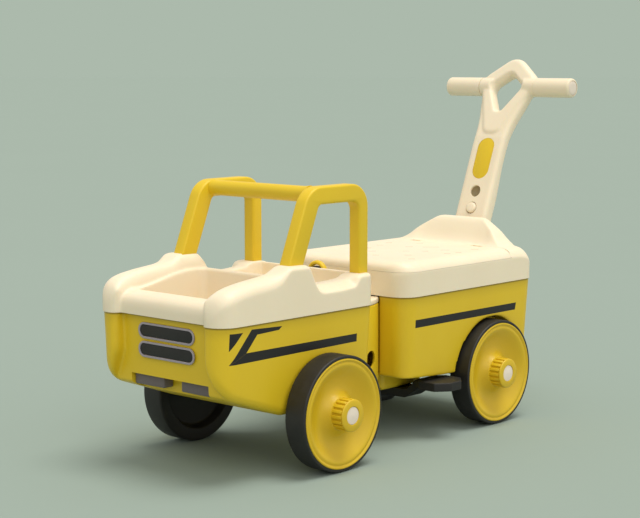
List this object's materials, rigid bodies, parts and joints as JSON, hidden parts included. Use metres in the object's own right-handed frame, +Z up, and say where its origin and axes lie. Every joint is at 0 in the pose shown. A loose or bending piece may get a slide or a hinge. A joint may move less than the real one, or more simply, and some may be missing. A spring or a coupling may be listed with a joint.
{
  "type": "ride-on truck",
  "caption": "Articulated toddler ride-on truck with an open front tray, roll cage, lidded seat box, footrest and raked push handle with a looped T grip.",
  "frame": {"origin": "On the ground under the middle of the truck's bounding box.", "axes": "+Z up, the truck drives towards -Y, +X is its left side."},
  "size_m": [0.35, 0.8234, 0.5572],
  "materials": {
    "yellow_plastic": "satin moulded plastic",
    "cream_plastic": "satin moulded plastic",
    "black_plastic": "matt moulded plastic",
    "black_tyre": "matt, plain tread",
    "grey_plastic": "matt moulded plastic",
    "pale_trim": "glossy painted rim",
    "white_plastic": "satin moulded plastic",
    "steel": "plain drawn steel"
  },
  "bodies": {
    "rear_unit": {"rear_tub": "yellow_plastic", "rear_cover": "cream_plastic", "lid_hinge_pin": "steel", "coupling_arm": "black_plastic", "arm_bush": "white_plastic", "rear_axle": "steel", "rear_axle_housing": "black_plastic", "handle_post": "black_plastic", "handle_socket": "black_plastic", "footrest": "black_plastic", "footrest_screw": "steel"},
    "front_unit": {"front_tub": "yellow_plastic", "bezel_upper": "pale_trim", "bezel_lower": "pale_trim", "grille_upper": "black_plastic", "grille_lower": "black_plastic", "bumper_block_left": "grey_plastic", "bumper_block_right": "grey_plastic", "front_cover": "cream_plastic", "cage_left": "yellow_plastic", "cage_right": "yellow_plastic", "cross_bar": "yellow_plastic", "pivot_drum": "yellow_plastic", "drum_cap": "cream_plastic", "steering_pin": "black_plastic", "pin_grip": "yellow_plastic", "front_axle": "steel", "front_axle_housing": "black_plastic"},
    "seat_lid": {"seat_lid": "cream_plastic"},
    "push_handle": {"handle_casing": "cream_plastic", "handle_inlay": "yellow_plastic", "grip_left": "cream_plastic", "grip_right": "cream_plastic", "grip_cap_left": "white_plastic", "grip_cap_right": "white_plastic"},
    "lock_button": {"height_button": "cream_plastic", "button_spring": "steel"},
    "wheel_front_left": {"tyre_front_left": "black_tyre", "wheel_cover_front_left": "yellow_plastic", "hub_cap_front_left": "white_plastic"},
    "wheel_front_right": {"tyre_front_right": "black_tyre", "wheel_cover_front_right": "yellow_plastic", "hub_cap_front_right": "white_plastic"},
    "wheel_rear_left": {"tyre_rear_left": "black_tyre", "wheel_cover_rear_left": "yellow_plastic", "hub_cap_rear_left": "white_plastic"},
    "wheel_rear_right": {"tyre_rear_right": "black_tyre", "wheel_cover_rear_right": "yellow_plastic", "hub_cap_rear_right": "white_plastic"}
  },
  "joints": [
    {"name": "steering", "type": "hinge", "parent": "rear_unit", "child": "front_unit", "pos_m": [0, -0.09518, 0.149], "axis": [0, 0, 1], "range_deg": [-22, 22]},
    {"name": "seat_hinge", "type": "hinge", "parent": "rear_unit", "child": "seat_lid", "pos_m": [0, 0.20782, 0.2607], "axis": [-1, 0, 0], "range_deg": [0, 75]},
    {"name": "handle_slide", "type": "slide", "parent": "rear_unit", "child": "push_handle", "axis": [0, 0.3633, 0.9317], "range_m": [0, 0.056]},
    {"name": "button_press", "type": "slide", "parent": "push_handle", "child": "lock_button", "axis": [0, 0.9317, -0.3633], "range_m": [0, 0.003], "stiffness_N_per_m": 400},
    {"name": "wheel_front_left_spin", "type": "hinge", "parent": "front_unit", "child": "wheel_front_left", "pos_m": [0.1409, -0.21518, 0.08], "axis": [1, 0, 0], "continuous": true},
    {"name": "wheel_front_right_spin", "type": "hinge", "parent": "front_unit", "child": "wheel_front_right", "pos_m": [-0.1409, -0.21518, 0.08], "axis": [1, 0, 0], "continuous": true},
    {"name": "wheel_rear_left_spin", "type": "hinge", "parent": "rear_unit", "child": "wheel_rear_left", "pos_m": [0.1193, 0.17022, 0.08], "axis": [1, 0, 0], "continuous": true},
    {"name": "wheel_rear_right_spin", "type": "hinge", "parent": "rear_unit", "child": "wheel_rear_right", "pos_m": [-0.1193, 0.17022, 0.08], "axis": [1, 0, 0], "continuous": true}
  ]
}
